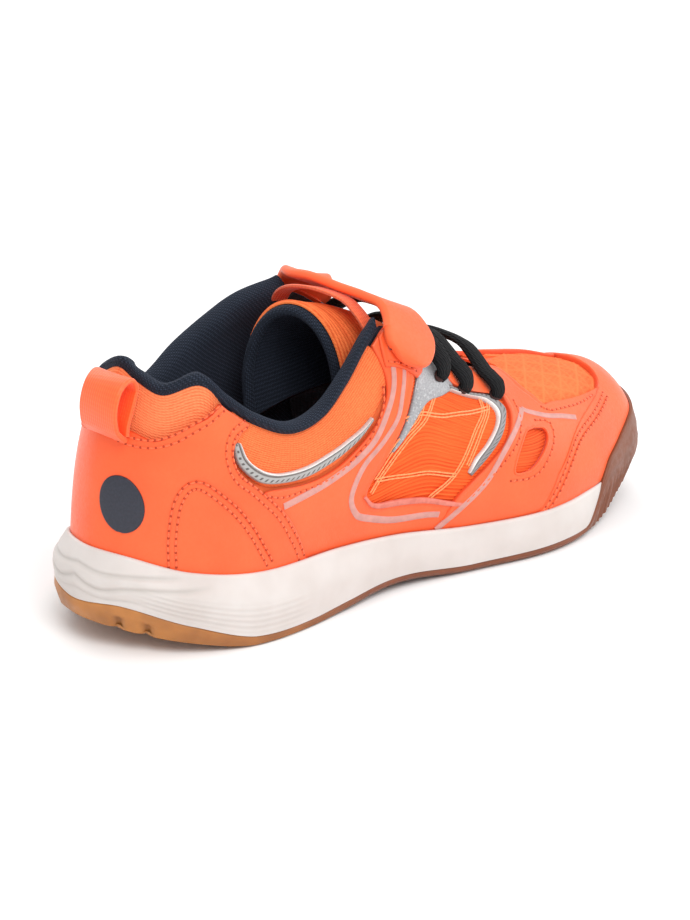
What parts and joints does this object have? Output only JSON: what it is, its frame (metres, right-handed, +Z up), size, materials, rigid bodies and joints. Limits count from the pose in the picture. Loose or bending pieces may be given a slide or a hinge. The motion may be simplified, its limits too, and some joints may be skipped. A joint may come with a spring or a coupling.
{
  "type": "court shoe",
  "caption": "Child's orange indoor court shoe with padded navy collar, instep strap, elastic laces, heel pull loop and gum rubber sole.",
  "frame": {"origin": "on the ground at the centre of the heel tread", "axes": "+X to the toe, +Y to the medial side of this right shoe, +Z up"},
  "size_m": [0.2127, 0.0764, 0.0893],
  "materials": {
    "gum_rubber": "satin",
    "white_foam": "matte",
    "board": "matte",
    "footbed_textile": "matte",
    "orange_mesh": "matte",
    "orange_leather": "satin",
    "navy_knit": "matte",
    "padding": "matte",
    "stiffener": "matte",
    "silver_trim": "satin",
    "navy_badge": "satin",
    "orange_webbing": "satin",
    "hook_tape": "matte",
    "loop_tape": "matte",
    "black_lace": "matte"
  },
  "bodies": {
    "shoe": {"outsole": "gum_rubber", "midsole": "white_foam", "lasting_board": "board", "quarter_mesh_lateral": "orange_mesh", "quarter_mesh_medial": "orange_mesh", "vamp_mesh": "orange_mesh", "vamp_lining": "navy_knit", "toe_puff": "stiffener", "heel_counter": "stiffener", "collar_foam": "padding", "collar_lining": "navy_knit", "collar_binding": "navy_knit", "heel_overlay_lateral": "orange_leather", "heel_overlay_medial": "orange_leather", "side_overlay_lateral": "orange_leather", "side_overlay_medial": "orange_leather", "forefoot_overlay_lateral": "orange_leather", "forefoot_overlay_medial": "orange_leather", "toe_cap": "orange_leather", "collar_panel_lateral": "orange_mesh", "collar_panel_medial": "orange_mesh", "collar_trim_lateral": "silver_trim", "collar_trim_medial": "silver_trim", "window_trim_lateral": "silver_trim", "window_trim_medial": "silver_trim", "reflective_panel_lateral": "silver_trim", "reflective_panel_medial": "silver_trim", "forefoot_insert_lateral": "orange_mesh", "forefoot_insert_medial": "orange_mesh", "heel_badge": "navy_badge", "strap_anchor": "orange_leather", "strap_loop_pad": "loop_tape", "instep_band": "orange_webbing", "elastic_lace": "black_lace"},
    "tongue": {"tongue_shell": "orange_mesh", "tongue_foam": "padding", "tongue_lining": "navy_knit"},
    "strap_middle": {"strap_bridge": "orange_leather"},
    "strap_end": {"strap_tip": "orange_leather", "strap_hook_pad": "hook_tape"},
    "pull_loop": {"heel_pull_loop": "orange_webbing"},
    "loose_footbed": {"footbed": "footbed_textile"}
  },
  "joints": [
    {"name": "strap_lift", "type": "hinge", "parent": "shoe", "child": "strap_middle", "pos_m": [0.05541, 0.01884, 0.08308], "axis": [-0.9356, 0.106, 0.3368], "range_deg": [0, 150]},
    {"name": "strap_end_peel", "type": "hinge", "parent": "strap_middle", "child": "strap_end", "pos_m": [0.05805, -0.01866, 0.08255], "axis": [-0.9142, -0.1097, 0.3901], "range_deg": [0, 100]},
    {"name": "tongue_press", "type": "hinge", "parent": "shoe", "child": "tongue", "pos_m": [0.102, 0, 0.044], "axis": [0, -1, 0], "range_deg": [0, 10]},
    {"name": "footbed_lift", "type": "hinge", "parent": "shoe", "child": "loose_footbed", "pos_m": [0.157, 0, 0.0175], "axis": [0, 1, 0], "range_deg": [0, 5]},
    {"name": "pull_loop_fold", "type": "hinge", "parent": "shoe", "child": "pull_loop", "pos_m": [-0.0362, -0.0062, 0.0615], "axis": [0.12, -0.9928, 0], "range_deg": [0, 70]}
  ]
}
